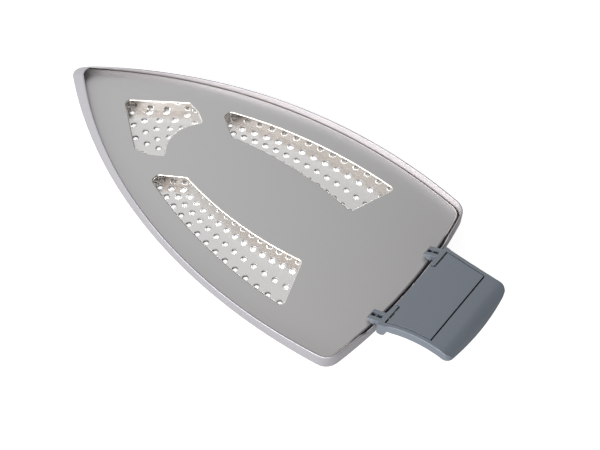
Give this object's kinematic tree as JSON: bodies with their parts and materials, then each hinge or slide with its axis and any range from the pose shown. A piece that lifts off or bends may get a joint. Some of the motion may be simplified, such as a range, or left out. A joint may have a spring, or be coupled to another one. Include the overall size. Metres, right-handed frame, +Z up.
{
  "type": "iron shoe cover",
  "caption": "Slip-on metal sole cover for a steam iron: raked toe, perforated steam wells and a sprung plastic heel latch.",
  "frame": {"origin": "middle of the bounding box in plan, on the ironing face", "axes": "+X towards the toe, +Y towards the cover's left side, +Z up from the ironing face to the side that the iron sits in"},
  "size_m": [0.2874, 0.127, 0.0228],
  "materials": {
    "steel_sheet": "satin pressed sheet",
    "plastic": "fine matte, blue-grey",
    "steel_wire": "drawn wire and rivet steel"
  },
  "bodies": {
    "cover": {"sole_pan": "steel_sheet", "insert_plate": "steel_sheet", "latch_base": "plastic", "hinge_pin": "steel_wire", "spring_left": "steel_wire", "spring_right": "steel_wire", "base_rivets": "steel_wire"},
    "lever": {"latch_lever": "plastic"}
  },
  "joints": [
    {"name": "latch_hinge", "type": "hinge", "parent": "cover", "child": "lever", "pos_m": [-0.10505, 0, 0.0098], "axis": [0, -1, 0], "range_deg": [0, 7], "stiffness_Nm_per_rad": 0.15, "springref_deg": -45.84, "deforming": ["spring_left", "spring_right"]}
  ]
}
